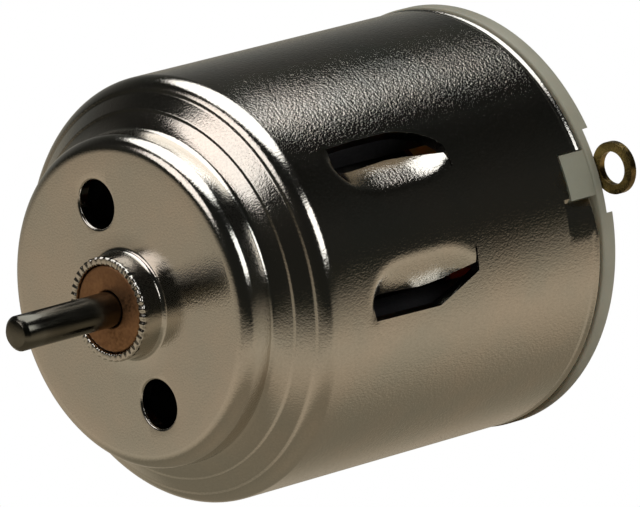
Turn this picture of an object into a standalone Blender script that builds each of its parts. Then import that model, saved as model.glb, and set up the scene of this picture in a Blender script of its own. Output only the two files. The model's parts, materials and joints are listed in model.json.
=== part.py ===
"""Small brushed permanent-magnet DC motor, modelled as the pieces it comes apart into.

Every piece is modelled with the shaft along Z, z = 0 on the mounting face and z growing towards
the end cap. The parent empty motor_axis lays that axis along world +Y, so the shaft points to
world -Y. Angles are measured about the shaft from +X, where one of the two terminals stands.
All sizes below are in millimetres and degrees.
"""

from math import acos, asin, cos, degrees, pi, radians, sin

import bmesh
import bpy
from mathutils import Matrix

MM = 0.001
ROUND_STEPS = 56  # facets round the big turned pieces
SMALL_STEPS = 32  # facets round the small turned pieces
FIT = 0.05  # gap left between pieces that sit on each other

# Steel can: a deep-drawn cup with a stepped nose and a bearing collar.
CAN_RADIUS = 12.1
CAN_WALL = 0.7
CAN_REAR = 25.3
RIM_ROUND = 0.25
NOSE_RADIUS = 9.42
NOSE_CORNER = 0.92
SHOULDER_LEAN = 28.0  # the shoulder is a shallow cone, leaning back from square by this much
SHOULDER_MIDDLE = (10.7, 3.05)
SHOULDER_FILLET = 0.9
STEP_FILLET = 0.4
COLLAR_RADIUS = 2.96
COLLAR_BORE = 2.5
COLLAR_FRONT = -1.56
COLLAR_CHAMFER = 0.14
COLLAR_FILLET = 0.25
MOUNT_HOLE_RADIUS = 1.4
MOUNT_PITCH_RADIUS = 5.79

# Two lanced tabs on the +X side, folded inwards to stop the magnets from turning.
TAB_FOLD_ANGLE = 7.6
TAB_FREE_ANGLE = 24.6
TAB_REAR_ANGLE = 17.0
TAB_FRONT = 7.5
TAB_CORNER = 12.4
TAB_REAR = 15.5
TAB_LENGTH = 2.45
TAB_EDGE_RADIUS = 11.0
TAB_ROOT = 0.1  # the tab starts this far past its fold, inside the wall's metal
TAB_SKIN = 0.08  # and this far under the outer skin
TAB_CLEARANCE = 0.1  # cut width at the tab's front and rear edges

# The tabs, keys, terminals and brushes stand turned by this much from the mounting holes.
SIDE_TURN = 1.5

# Key notches in the can's rear rim, at +X and -X.
KEY_ANGLE = 6.2
KEY_FRONT = 23.4

# Shaft and its two sintered bushings.
SHAFT_RADIUS = 1.0
SHAFT_FRONT = -8.47
SHAFT_REAR = 27.9
SHAFT_CHAMFER = 0.2
BUSH_RADIUS = 2.45
BUSH_BORE = 1.03
BUSH_CHAMFER = 0.12
FRONT_BUSH = (-1.4, 0.8)
REAR_BUSH = (24.7, 28.2)

# Rotor stack: three wound poles.
POLES = 3
CORE_RADIUS = 7.95
CORE = (7.5, 17.0)
HUB_RADIUS = 2.7
ARM_HALF_WIDTH = 1.1
SHOE_ROOT_RADIUS = 6.4
SHOE_TIP_RADIUS = 7.3
SHOE_HALF_ANGLE = 52.0
ROTOR_BORE = 1.04
INSULATOR = 0.35
COIL_THICKNESS = 1.6
COIL_SIDE = 1.8
COIL_INNER = 2.95
COIL_OUTER = 5.85
COIL_CORNER = 1.2

# Washers and the spacer that set the rotor's place along the shaft.
FRONT_WASHER = (0.9, 1.2)
SPACER = (1.25, 7.0)
SPACER_RADIUS = 1.8
REAR_WASHER = (24.15, 24.5)
WASHER_RADIUS = 2.1

# Commutator: a moulded hub, three copper segments with wire tangs, and a retaining ring.
COMM_HUB = (17.5, 24.05)
COMM_FLANGE = (19.15, 19.6)
COMM_FLANGE_RADIUS = 3.0
COMM_CORE_RADIUS = 1.95
SEGMENT = (19.7, 23.7)
SEGMENT_INNER = 2.0
SEGMENT_OUTER = 2.5
SEGMENT_GAP_ANGLE = 6.0
TANG_REACH = 4.2
TANG_WIDTH = 1.2
TANG_THICKNESS = 0.3
COMM_RING = (23.2, 23.7)
COMM_RING_RADIUS = 3.0

# Ferrite magnets and the wire spring that spreads them.
MAGNET = (5.0, 20.0)
MAGNET_INNER = 8.4
MAGNET_OUTER = 11.33
MAGNET_EDGE_ANGLE = 27.0
SPRING_WIRE_RADIUS = 0.4
SPRING_RADIUS = 10.9
SPRING_LEG_ANGLE = 24.3
SPRING = (6.2, 18.5)

# Moulded end cap.
CAP_FLANGE_RADIUS = 12.2
CAP_REAR = 26.47
CAP_EDGE_ROUND = 0.15
CAP_SKIRT_RADIUS = 11.33
CAP_SKIRT_INNER = 10.3
CAP_SKIRT_FRONT = 22.8
CAP_BOSS_RADIUS = 4.5
CAP_BOSS_REAR = 28.7
CAP_INNER_BOSS_RADIUS = 3.6
CAP_INNER_BOSS_FRONT = 24.75
CAP_BORE = 2.5
RECESS_HALF_WIDTH = 2.45
RECESS_FLOOR = 25.85
RECESS_INNER = 8.4

# Brass terminals: a solder ring outside and a leg inside that carries the brush arm.
TERMINAL = (25.9, 26.3)
TERMINAL_RING_X = 13.3
TERMINAL_RING_RADIUS = 1.5
TERMINAL_HOLE_RADIUS = 0.95
TERMINAL_NECK_HALF_WIDTH = 0.75
TERMINAL_TAIL_HALF_WIDTH = 1.2
TERMINAL_LEG_X = 9.0
TERMINAL_LEG_FRONT = 20.9
TERMINAL_LEG_SIDE = 5.3

# Brush gear.
ARM_THICKNESS = 0.25
ARM = (21.0, 22.5)
ARM_Y = 3.85
BRUSH = (20.6, 22.9)
BRUSH_HALF_WIDTH = 1.1
BRUSH_INNER = 2.2
BRUSH_FACE_RADIUS = 2.56


# ---------------------------------------------------------------- scene set-up


def clear_scene():
    for obj in list(bpy.data.objects):
        bpy.data.objects.remove(obj, do_unlink=True)


def new_collection(name, hidden=False):
    collection = bpy.data.collections.new(name)
    collection.hide_render = hidden
    bpy.context.scene.collection.children.link(collection)
    return collection


clear_scene()
PARTS = new_collection("electric_motor")
CUTTERS = new_collection("cutters", hidden=True)

AXIS = bpy.data.objects.new("motor_axis", None)
AXIS.rotation_euler = (-pi / 2, 0, 0)
PARTS.objects.link(AXIS)
ROTOR = bpy.data.objects.new("rotor_axis", None)
ROTOR.parent = AXIS
PARTS.objects.link(ROTOR)
SIDES = bpy.data.objects.new("side_axis", None)
SIDES.parent = AXIS
SIDES.rotation_euler = (0, 0, radians(SIDE_TURN))
PARTS.objects.link(SIDES)


def material(name, color, roughness, metallic=0.0):
    made = bpy.data.materials.new(name)
    made.use_nodes = True
    shader = made.node_tree.nodes["Principled BSDF"]
    shader.inputs["Base Color"].default_value = (*color, 1)
    shader.inputs["Roughness"].default_value = roughness
    shader.inputs["Metallic"].default_value = metallic
    return made


NICKEL = material("nickel_plated_steel", (0.62, 0.58, 0.53), 0.28, 1)
SHAFT_STEEL = material("ground_steel", (0.55, 0.52, 0.48), 0.2, 1)
BRONZE = material("sintered_bronze", (0.50, 0.26, 0.13), 0.55, 1)
LAMINATION = material("lamination_steel", (0.28, 0.27, 0.26), 0.45, 1)
COPPER_WIRE = material("enamelled_copper", (0.45, 0.16, 0.06), 0.35, 1)
COPPER = material("bare_copper", (0.72, 0.38, 0.22), 0.25, 1)
BRASS = material("brass", (0.62, 0.44, 0.16), 0.3, 1)
SPRING_STEEL = material("spring_steel", (0.30, 0.29, 0.28), 0.3, 1)
PHOSPHOR_BRONZE = material("phosphor_bronze", (0.65, 0.42, 0.24), 0.3, 1)
FERRITE = material("ferrite", (0.05, 0.05, 0.055), 0.6)
CARBON = material("carbon", (0.03, 0.03, 0.03), 0.5)
NYLON = material("ivory_nylon", (0.72, 0.73, 0.66), 0.5)
FIBRE = material("insulating_fibre", (0.32, 0.09, 0.05), 0.7)
PHENOLIC = material("phenolic", (0.10, 0.06, 0.04), 0.5)


# ---------------------------------------------------------------- shape helpers


def polar(radius, angle):
    return (radius * cos(radians(angle)), radius * sin(radians(angle)))


def arc(center, radius, start, end, steps):
    """Points on a circle from start to end degrees, both ends included."""
    turns = [start + (end - start) * i / steps for i in range(steps + 1)]
    return [(center[0] + x, center[1] + y) for x, y in (polar(radius, turn) for turn in turns)]


def place(obj, parent=AXIS, at=(0, 0, 0), turn=(0, 0, 0)):
    obj.parent = parent
    obj.location = [value * MM for value in at]
    obj.rotation_euler = [radians(value) for value in turn]
    return obj


def smooth(obj, limit=35):
    obj.data.shade_smooth()
    obj.data.set_sharp_from_angle(angle=radians(limit))


def turned(name, profile, finish, collection=PARTS, steps=SMALL_STEPS):
    """A closed (radius, z) outline spun about Z. The outline climbs its outer side."""
    mesh = bpy.data.meshes.new(name)
    points = [(radius * MM, 0, z * MM) for radius, z in reversed(profile)]
    edges = [(i, (i + 1) % len(points)) for i in range(len(points))]
    mesh.from_pydata(points, edges, [])
    mesh.materials.append(finish)
    obj = bpy.data.objects.new(name, mesh)
    collection.objects.link(obj)
    screw = obj.modifiers.new("turn", "SCREW")
    screw.axis = "Z"
    screw.steps = steps
    screw.render_steps = steps
    screw.use_merge_vertices = True
    screw.merge_threshold = 1e-6
    return place(obj)


def spindle(name, profile, finish, steps=SMALL_STEPS):
    """A turned solid whose open outline starts and ends on the axis."""
    obj = turned(name, profile, finish, steps=steps)
    mesh = obj.data
    count = len(mesh.vertices)
    points = [vertex.co.copy() for vertex in mesh.vertices]
    mesh.clear_geometry()
    mesh.from_pydata(points, [(i, i + 1) for i in range(count - 1)], [])
    return obj


def ring(name, inner, outer, span, finish, chamfer=0.0, steps=SMALL_STEPS):
    """A plain bush or washer, with the same chamfer on its outer edges."""
    low, high = span
    profile = [(inner, low), (outer - chamfer, low)]
    if chamfer:
        profile += [(outer, low + chamfer), (outer, high - chamfer)]
    else:
        profile += [(outer, low)]
    profile += [(outer - chamfer, high), (inner, high)]
    return turned(name, profile, finish, steps=steps)


def spline(curve, points):
    """Adds one closed straight-sided outline to a 2D curve."""
    line = curve.splines.new("POLY")
    line.points.add(len(points) - 1)
    for point, (x, y) in zip(line.points, points):
        point.co = (x * MM, y * MM, 0, 1)
    line.use_cyclic_u = True


def plate(name, outlines, thickness, finish, collection=PARTS):
    """A flat outline, with holes as further outlines, thickened evenly about z = 0."""
    curve = bpy.data.curves.new(name, "CURVE")
    curve.dimensions = "2D"
    curve.fill_mode = "BOTH"
    curve.extrude = thickness * MM / 2
    for points in outlines:
        spline(curve, points)
    curve.materials.append(finish)
    obj = bpy.data.objects.new(name, curve)
    collection.objects.link(obj)
    return place(obj)


def slab(name, outlines, span, finish, collection=PARTS):
    """A plate whose two faces lie at the two heights of span."""
    low, high = span
    return place(plate(name, outlines, high - low, finish, collection), at=(0, 0, (low + high) / 2))


def to_mesh(obj):
    """Replaces a curve object with a welded mesh object of the same name and place."""
    bpy.context.view_layer.update()
    graph = bpy.context.evaluated_depsgraph_get()
    mesh = bpy.data.meshes.new_from_object(obj.evaluated_get(graph))
    work = bmesh.new()
    work.from_mesh(mesh)
    bmesh.ops.remove_doubles(work, verts=work.verts, dist=1e-6)
    work.to_mesh(mesh)
    work.free()
    made = bpy.data.objects.new(obj.name, mesh)
    obj.users_collection[0].objects.link(made)
    made.parent = obj.parent
    made.matrix_basis = obj.matrix_basis.copy()
    name = obj.name
    bpy.data.objects.remove(obj, do_unlink=True)
    made.name = name
    return made


def combine(obj, other, operation):
    """Adds an exact Boolean with another mesh object, which becomes a hidden helper."""
    boolean = obj.modifiers.new(other.name, "BOOLEAN")
    boolean.operation = operation
    boolean.solver = "EXACT"
    boolean.object = other
    other.hide_render = True
    other.display_type = "WIRE"


def cylinder_cutter(name, radius, span, at=(0, 0), steps=SMALL_STEPS):
    low, high = span
    bpy.ops.mesh.primitive_cylinder_add(vertices=steps, radius=radius * MM, depth=(high - low) * MM)
    obj = bpy.context.active_object
    obj.name = name
    move_to_cutters(obj)
    return place(obj, at=(*at, (low + high) / 2))


def box_cutter(name, low, high):
    """A box between two opposite corners, turned with the terminals."""
    bpy.ops.mesh.primitive_cube_add(size=1)
    obj = bpy.context.active_object
    obj.name = name
    size = [(b - a) * MM for a, b in zip(low, high)]
    obj.data.transform(Matrix.Diagonal((*size, 1)))
    move_to_cutters(obj)
    return place(obj, SIDES, at=[(a + b) / 2 for a, b in zip(low, high)])


def move_to_cutters(obj):
    for collection in list(obj.users_collection):
        collection.objects.unlink(obj)
    CUTTERS.objects.link(obj)


def circle(center, radius, steps=SMALL_STEPS):
    return arc(center, radius, 0, 360 - 360 / steps, steps - 1)


def sector(inner, outer, start, end, steps):
    """Outline of a ring sector."""
    return arc((0, 0), outer, start, end, steps) + arc((0, 0), inner, end, start, steps)


# ---------------------------------------------------------------- the can


def shoulder_center(radius, behind):
    """Centre of a fillet that touches the shoulder's cone, given how far behind the cone it lies."""
    middle_radius, middle_z = SHOULDER_MIDDLE
    lean = radians(SHOULDER_LEAN)
    return (radius, middle_z + ((radius - middle_radius) * sin(lean) + behind) / cos(lean))


def can_profile():
    """Outline of the drawn cup: out along its outer skin from the collar, back along its inner one."""
    wall = CAN_WALL
    fillet = shoulder_center(NOSE_RADIUS + STEP_FILLET, -STEP_FILLET)
    shoulder = shoulder_center(CAN_RADIUS - SHOULDER_FILLET, SHOULDER_FILLET)
    tangent = SHOULDER_LEAN - 90
    nose = (NOSE_RADIUS - NOSE_CORNER, NOSE_CORNER)
    collar = (COLLAR_RADIUS + COLLAR_FILLET, -COLLAR_FILLET)
    rim = (CAN_RADIUS - RIM_ROUND, CAN_REAR - RIM_ROUND)
    outer = [
        (COLLAR_BORE, COLLAR_FRONT + COLLAR_CHAMFER),
        (COLLAR_BORE + COLLAR_CHAMFER, COLLAR_FRONT),
        (COLLAR_RADIUS - COLLAR_CHAMFER, COLLAR_FRONT),
        (COLLAR_RADIUS, COLLAR_FRONT + COLLAR_CHAMFER),
    ]
    outer += arc(collar, COLLAR_FILLET, 180, 90, 2)
    outer += arc(nose, NOSE_CORNER, -90, 0, 5)
    outer += arc(fillet, STEP_FILLET, 180, 180 + tangent, 3)
    outer += arc(shoulder, SHOULDER_FILLET, tangent, 0, 5)
    outer += arc(rim, RIM_ROUND, 0, 90, 2)
    inner = [(CAN_RADIUS - wall, CAN_REAR)]
    inner += arc(shoulder, SHOULDER_FILLET - wall, 0, tangent, 1)
    inner += arc(fillet, STEP_FILLET + wall, 180 + tangent, 180, 3)
    inner += arc(nose, NOSE_CORNER - wall, 0, -90, 1)
    inner += [(COLLAR_BORE, wall)]
    return outer + inner


def tab_direction():
    """Angle at which a tab leaves its fold line, so that its free edge lands on TAB_EDGE_RADIUS."""
    reach = (TAB_EDGE_RADIUS**2 - CAN_RADIUS**2 - TAB_LENGTH**2) / (2 * CAN_RADIUS * TAB_LENGTH)
    return TAB_FOLD_ANGLE + degrees(acos(reach))


def window_cutter(side, label):
    """The opening that the lanced tab leaves in the wall, as an inward-pointing wedge."""
    name = f"window_cutter_{label}"
    depth = 3.0
    radius = CAN_RADIUS + 0.5
    outline = [
        (TAB_FOLD_ANGLE, TAB_FRONT),
        (TAB_FREE_ANGLE, TAB_FRONT),
        (TAB_FREE_ANGLE, TAB_CORNER),
        (TAB_REAR_ANGLE, TAB_REAR),
        (TAB_FOLD_ANGLE, TAB_REAR),
    ]
    work = bmesh.new()
    outside = [work.verts.new([v * MM for v in (*polar(radius, side * a), z)]) for a, z in outline]
    inside = [work.verts.new([v * MM for v in (*polar(radius - depth, side * a), z)]) for a, z in outline]
    work.faces.new(outside)
    work.faces.new(inside[::-1])
    for i in range(len(outline)):
        j = (i + 1) % len(outline)
        work.faces.new((outside[j], outside[i], inside[i], inside[j]))
    bmesh.ops.recalc_face_normals(work, faces=work.faces)
    mesh = bpy.data.meshes.new(name)
    work.to_mesh(mesh)
    work.free()
    obj = bpy.data.objects.new(name, mesh)
    CUTTERS.objects.link(obj)
    return place(obj, SIDES)


def lanced_tab(side, label):
    """The flat tab itself: drawn in its own plane, then stood on the fold line and leant inwards."""
    front = TAB_FRONT + TAB_CLEARANCE
    rear = TAB_REAR - TAB_CLEARANCE
    slant = TAB_LENGTH * (TAB_REAR_ANGLE - TAB_FOLD_ANGLE) / (TAB_FREE_ANGLE - TAB_FOLD_ANGLE)
    outline = [
        (TAB_ROOT, front),
        (TAB_LENGTH, front),
        (TAB_LENGTH, TAB_CORNER - TAB_CLEARANCE / 2),
        (slant, rear),
        (TAB_ROOT, rear),
    ]
    flat = to_mesh(plate(f"tab_{label}", [outline], CAN_WALL - TAB_SKIN, NICKEL, CUTTERS))
    lean = radians(tab_direction())
    along = (cos(lean), sin(lean) * side)
    inward = (-sin(lean), cos(lean) * side)
    middle = (CAN_WALL + TAB_SKIN) / 2
    x, y = polar(CAN_RADIUS, side * TAB_FOLD_ANGLE)
    flat.matrix_basis = Matrix(
        (
            (along[0], 0, inward[0], (x + inward[0] * middle) * MM),
            (along[1], 0, inward[1], (y + inward[1] * middle) * MM),
            (0, 1, 0, 0),
            (0, 0, 0, 1),
        )
    )
    flat.data.transform(flat.matrix_basis)
    flat.matrix_basis = Matrix.Identity(4)
    flat.parent = SIDES
    work = bmesh.new()
    work.from_mesh(flat.data)
    bmesh.ops.recalc_face_normals(work, faces=work.faces)
    work.to_mesh(flat.data)
    work.free()
    return flat


def build_can():
    can = turned("can", can_profile(), NICKEL, steps=ROUND_STEPS)
    for side in (1, -1):
        label = "lower" if side > 0 else "upper"
        hole_at = (0, side * MOUNT_PITCH_RADIUS)
        hole = cylinder_cutter(f"mount_hole_{label}", MOUNT_HOLE_RADIUS, (-1, 2), hole_at)
        combine(can, hole, "DIFFERENCE")
        combine(can, window_cutter(side, label), "DIFFERENCE")
        combine(can, lanced_tab(side, label), "UNION")
        half = CAN_RADIUS * sin(radians(KEY_ANGLE)) + 2 * FIT
        near, far = sorted((side * (CAN_RADIUS - 2), side * (CAN_RADIUS + 1)))
        low = (near, -half, KEY_FRONT - FIT)
        high = (far, half, CAN_REAR + 1)
        combine(can, box_cutter(f"key_notch_{label}", low, high), "DIFFERENCE")


# ---------------------------------------------------------------- stator pieces


def build_bushings():
    for name, span in (("front_bushing", FRONT_BUSH), ("rear_bushing", REAR_BUSH)):
        ring(name, BUSH_BORE, BUSH_RADIUS, span, BRONZE, BUSH_CHAMFER)


def build_magnets():
    start, end = MAGNET_EDGE_ANGLE, 180 - MAGNET_EDGE_ANGLE
    for name, side in (("magnet_lower", 1), ("magnet_upper", -1)):
        outline = sector(MAGNET_INNER, MAGNET_OUTER, side * start, side * end, 14)
        slab(name, [outline], MAGNET, FERRITE)


def build_magnet_spring():
    """A hairpin of wire lying on the can's wall between the magnets' -X edges."""
    curve = bpy.data.curves.new("magnet_spring", "CURVE")
    curve.dimensions = "3D"
    curve.bevel_depth = SPRING_WIRE_RADIUS * MM
    curve.bevel_resolution = 2
    curve.use_fill_caps = True
    front, rear = SPRING
    path = [(-SPRING_LEG_ANGLE, rear)]
    bend = 6
    path += [
        (-SPRING_LEG_ANGLE * cos(pi * i / bend), front + 3 - 3 * sin(pi * i / bend))
        for i in range(bend + 1)
    ]
    path += [(SPRING_LEG_ANGLE, rear)]
    line = curve.splines.new("POLY")
    line.points.add(len(path) - 1)
    for point, (angle, z) in zip(line.points, path):
        x, y = polar(SPRING_RADIUS, 180 + angle)
        point.co = (x * MM, y * MM, z * MM, 1)
    curve.materials.append(SPRING_STEEL)
    obj = bpy.data.objects.new("magnet_spring", curve)
    PARTS.objects.link(obj)
    place(obj)


def build_end_cap():
    flange_front = CAN_REAR + FIT
    profile = [
        (CAP_BORE, CAP_INNER_BOSS_FRONT),
        (CAP_INNER_BOSS_RADIUS, CAP_INNER_BOSS_FRONT),
        (CAP_INNER_BOSS_RADIUS, flange_front),
        (CAP_SKIRT_INNER, flange_front),
        (CAP_SKIRT_INNER, CAP_SKIRT_FRONT),
        (CAP_SKIRT_RADIUS - 0.2, CAP_SKIRT_FRONT),
        (CAP_SKIRT_RADIUS, CAP_SKIRT_FRONT + 0.4),
        (CAP_SKIRT_RADIUS, flange_front),
        (CAP_FLANGE_RADIUS - CAP_EDGE_ROUND, flange_front),
        (CAP_FLANGE_RADIUS, flange_front + CAP_EDGE_ROUND),
        (CAP_FLANGE_RADIUS, CAP_REAR - CAP_EDGE_ROUND),
        (CAP_FLANGE_RADIUS - CAP_EDGE_ROUND, CAP_REAR),
        (CAP_BOSS_RADIUS, CAP_REAR),
        (CAP_BOSS_RADIUS, CAP_BOSS_REAR - 0.3),
        (CAP_BOSS_RADIUS - 0.3, CAP_BOSS_REAR),
        (CAP_BORE, CAP_BOSS_REAR),
    ]
    cap = turned("end_cap", profile, NYLON, steps=ROUND_STEPS)
    for side in (1, -1):
        label = "right" if side > 0 else "left"
        middle = 90 - 90 * side
        outline = sector(CAP_SKIRT_INNER + 0.4, CAN_RADIUS - 0.02, middle - KEY_ANGLE, middle + KEY_ANGLE, 4)
        key = slab(f"key_{label}", [outline], (KEY_FRONT, flange_front + 0.3), NYLON, CUTTERS)
        key.parent = SIDES
        combine(cap, to_mesh(key), "UNION")
        near, far = sorted((side * RECESS_INNER, side * (CAP_FLANGE_RADIUS + 1)))
        low = (near, -RECESS_HALF_WIDTH, RECESS_FLOOR)
        high = (far, RECESS_HALF_WIDTH, CAP_REAR + 1)
        combine(cap, box_cutter(f"recess_{label}", low, high), "DIFFERENCE")
        near, far = sorted((side * (TERMINAL_LEG_X - 0.4), side * (TERMINAL_LEG_X + 0.4)))
        low = (near, -TERMINAL_TAIL_HALF_WIDTH - 0.2, flange_front - 0.6)
        high = (far, TERMINAL_TAIL_HALF_WIDTH + 0.2, CAP_REAR + 1.2)
        combine(cap, box_cutter(f"leg_slot_{label}", low, high), "DIFFERENCE")


def terminal_outline():
    """Solder ring, neck and wider tail, seen along the shaft."""
    neck = degrees(asin(TERMINAL_NECK_HALF_WIDTH / TERMINAL_RING_RADIUS))
    ring_points = arc((TERMINAL_RING_X, 0), TERMINAL_RING_RADIUS, neck - 180, 180 - neck, 20)
    tail = CAP_FLANGE_RADIUS - 0.9
    inner = TERMINAL_LEG_X - 0.2
    return ring_points + [
        (tail + 0.3, TERMINAL_NECK_HALF_WIDTH),
        (tail, TERMINAL_TAIL_HALF_WIDTH),
        (inner, TERMINAL_TAIL_HALF_WIDTH),
        (inner, -TERMINAL_TAIL_HALF_WIDTH),
        (tail, -TERMINAL_TAIL_HALF_WIDTH),
        (tail + 0.3, -TERMINAL_NECK_HALF_WIDTH),
    ]


def terminal_leg_outline():
    """The leg inside the motor, seen from the shaft: (side, z)."""
    half = TERMINAL_TAIL_HALF_WIDTH
    shelf = CAP_SKIRT_FRONT - 0.15
    return [
        (-half, TERMINAL[0] + 0.2),
        (half, TERMINAL[0] + 0.2),
        (half, shelf),
        (TERMINAL_LEG_SIDE, shelf),
        (TERMINAL_LEG_SIDE, TERMINAL_LEG_FRONT),
        (-half, TERMINAL_LEG_FRONT),
    ]


def build_terminal(label, turn):
    outlines = [terminal_outline(), circle((TERMINAL_RING_X, 0), TERMINAL_HOLE_RADIUS, 20)]
    terminal = to_mesh(slab(f"terminal_{label}", outlines, TERMINAL, BRASS))
    terminal.rotation_euler = (0, 0, radians(turn))
    thickness = TERMINAL[1] - TERMINAL[0]
    leg = to_mesh(plate(f"terminal_leg_{label}", [terminal_leg_outline()], thickness, BRASS, CUTTERS))
    # The leg's own x and y become the motor's y and z; its plate thickness lies along the motor's x.
    stand = Matrix(((0, 0, 1, (TERMINAL_LEG_X + 0.01) * MM), (1, 0, 0, 0), (0, 1, 0, 0), (0, 0, 0, 1)))
    leg.matrix_basis = Matrix.Rotation(radians(turn), 4, "Z") @ stand
    terminal.parent = SIDES
    leg.parent = SIDES
    combine(terminal, leg, "UNION")


def build_brush_gear(label, turn):
    """One leaf arm with its carbon block, which rubs on the side of the commutator."""
    half = ARM_THICKNESS / 2
    root_x = TERMINAL_LEG_X - 0.2 - FIT
    root_y = TERMINAL_LEG_SIDE - 0.5
    tip_x = -BRUSH_HALF_WIDTH - 0.3
    bend_x = 3.0
    outline = [
        (root_x, root_y + half),
        (bend_x, ARM_Y + half),
        (tip_x, ARM_Y + half),
        (tip_x, ARM_Y - half),
        (bend_x, ARM_Y - half),
        (root_x, root_y - half),
    ]
    arm = slab(f"brush_arm_{label}", [outline], ARM, PHOSPHOR_BRONZE)
    arm.rotation_euler = (0, 0, radians(turn))
    brush_outer = ARM_Y - half - FIT
    face = asin(BRUSH_HALF_WIDTH / BRUSH_FACE_RADIUS)
    corner = degrees(face)
    outline = [(BRUSH_HALF_WIDTH, brush_outer), (-BRUSH_HALF_WIDTH, brush_outer)]
    outline += arc((0, 0), BRUSH_FACE_RADIUS, 90 + corner, 90 - corner, 8)
    brush = slab(f"carbon_brush_{label}", [outline], BRUSH, CARBON)
    brush.rotation_euler = (0, 0, radians(turn))
    for piece in (arm, brush):
        piece.parent = SIDES


# ---------------------------------------------------------------- rotor pieces


def build_shaft():
    low, high, edge = SHAFT_FRONT, SHAFT_REAR, SHAFT_CHAMFER
    profile = [
        (0, low),
        (SHAFT_RADIUS - edge, low),
        (SHAFT_RADIUS, low + edge),
        (SHAFT_RADIUS, high - edge),
        (SHAFT_RADIUS - edge, high),
        (0, high),
    ]
    place(spindle("shaft", profile, SHAFT_STEEL), ROTOR)


def pole_outline():
    """One lamination: a hub with three arms, each ending in a curved shoe."""
    points = []
    half_pole = 180 / POLES
    arm_at_hub = degrees(asin(ARM_HALF_WIDTH / HUB_RADIUS))
    arm_at_shoe = degrees(asin(ARM_HALF_WIDTH / SHOE_ROOT_RADIUS))
    for pole in range(POLES):
        turn = 360 / POLES * pole
        points += arc((0, 0), HUB_RADIUS, turn - half_pole, turn - arm_at_hub, 3)
        points.append(polar(SHOE_ROOT_RADIUS, turn - arm_at_shoe))
        points += [
            polar(radius, turn - angle)
            for radius, angle in (
                ((SHOE_ROOT_RADIUS + SHOE_TIP_RADIUS) / 2 + 0.12, SHOE_HALF_ANGLE * 0.6),
                (SHOE_TIP_RADIUS, SHOE_HALF_ANGLE),
            )
        ]
        points += arc((0, 0), CORE_RADIUS, turn - SHOE_HALF_ANGLE, turn + SHOE_HALF_ANGLE, 12)
        points += [
            polar(radius, turn + angle)
            for radius, angle in (
                (SHOE_TIP_RADIUS, SHOE_HALF_ANGLE),
                ((SHOE_ROOT_RADIUS + SHOE_TIP_RADIUS) / 2 + 0.12, SHOE_HALF_ANGLE * 0.6),
            )
        ]
        points.append(polar(SHOE_ROOT_RADIUS, turn + arm_at_shoe))
        points += arc((0, 0), HUB_RADIUS, turn + arm_at_hub, turn + half_pole, 3)[:-1]
    return points


def build_core():
    outlines = [pole_outline(), circle((0, 0), ROTOR_BORE)]
    low, high = CORE
    spans = {
        "front_insulator": (low - FIT - INSULATOR, low - FIT),
        "rotor_core": CORE,
        "rear_insulator": (high + FIT, high + FIT + INSULATOR),
    }
    for name, span in spans.items():
        finish = LAMINATION if name == "rotor_core" else FIBRE
        slab(name, outlines, span, finish).parent = ROTOR


def rounded_rectangle(half_x, half_y, corner, steps=3):
    points = []
    for turn, sx, sy in ((0, 1, 1), (90, -1, 1), (180, -1, -1), (270, 1, -1)):
        center = (sx * (half_x - corner), sy * (half_y - corner))
        points += arc(center, corner, turn, turn + 90, steps)
    return points


def build_coils():
    """Each coil is a rounded ring round one arm, lying square to the arm."""
    low, high = CORE
    hole_side = ARM_HALF_WIDTH + 2 * FIT
    hole_half = (high - low) / 2 + INSULATOR + 2 * FIT
    outer = rounded_rectangle(hole_side + COIL_SIDE, hole_half + COIL_THICKNESS, COIL_CORNER)
    inner = [(x * hole_side, y * hole_half) for x, y in ((1, 1), (-1, 1), (-1, -1), (1, -1))]
    middle = (COIL_INNER + COIL_OUTER) / 2
    for pole in range(POLES):
        coil = plate(f"coil_{pole + 1}", [outer, inner], COIL_OUTER - COIL_INNER, COPPER_WIRE)
        turn = Matrix.Rotation(radians(360 / POLES * pole), 4, "Z")
        lay = Matrix(
            ((0, 0, 1, middle * MM), (1, 0, 0, 0), (0, 1, 0, (low + high) / 2 * MM), (0, 0, 0, 1))
        )
        coil.parent = ROTOR
        coil.matrix_basis = turn @ lay


def build_washers():
    for name, span, radius in (
        ("front_thrust_washer", FRONT_WASHER, WASHER_RADIUS),
        ("front_spacer", SPACER, SPACER_RADIUS),
        ("rear_thrust_washer", REAR_WASHER, WASHER_RADIUS),
    ):
        ring(name, ROTOR_BORE, radius, span, NYLON).parent = ROTOR


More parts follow.
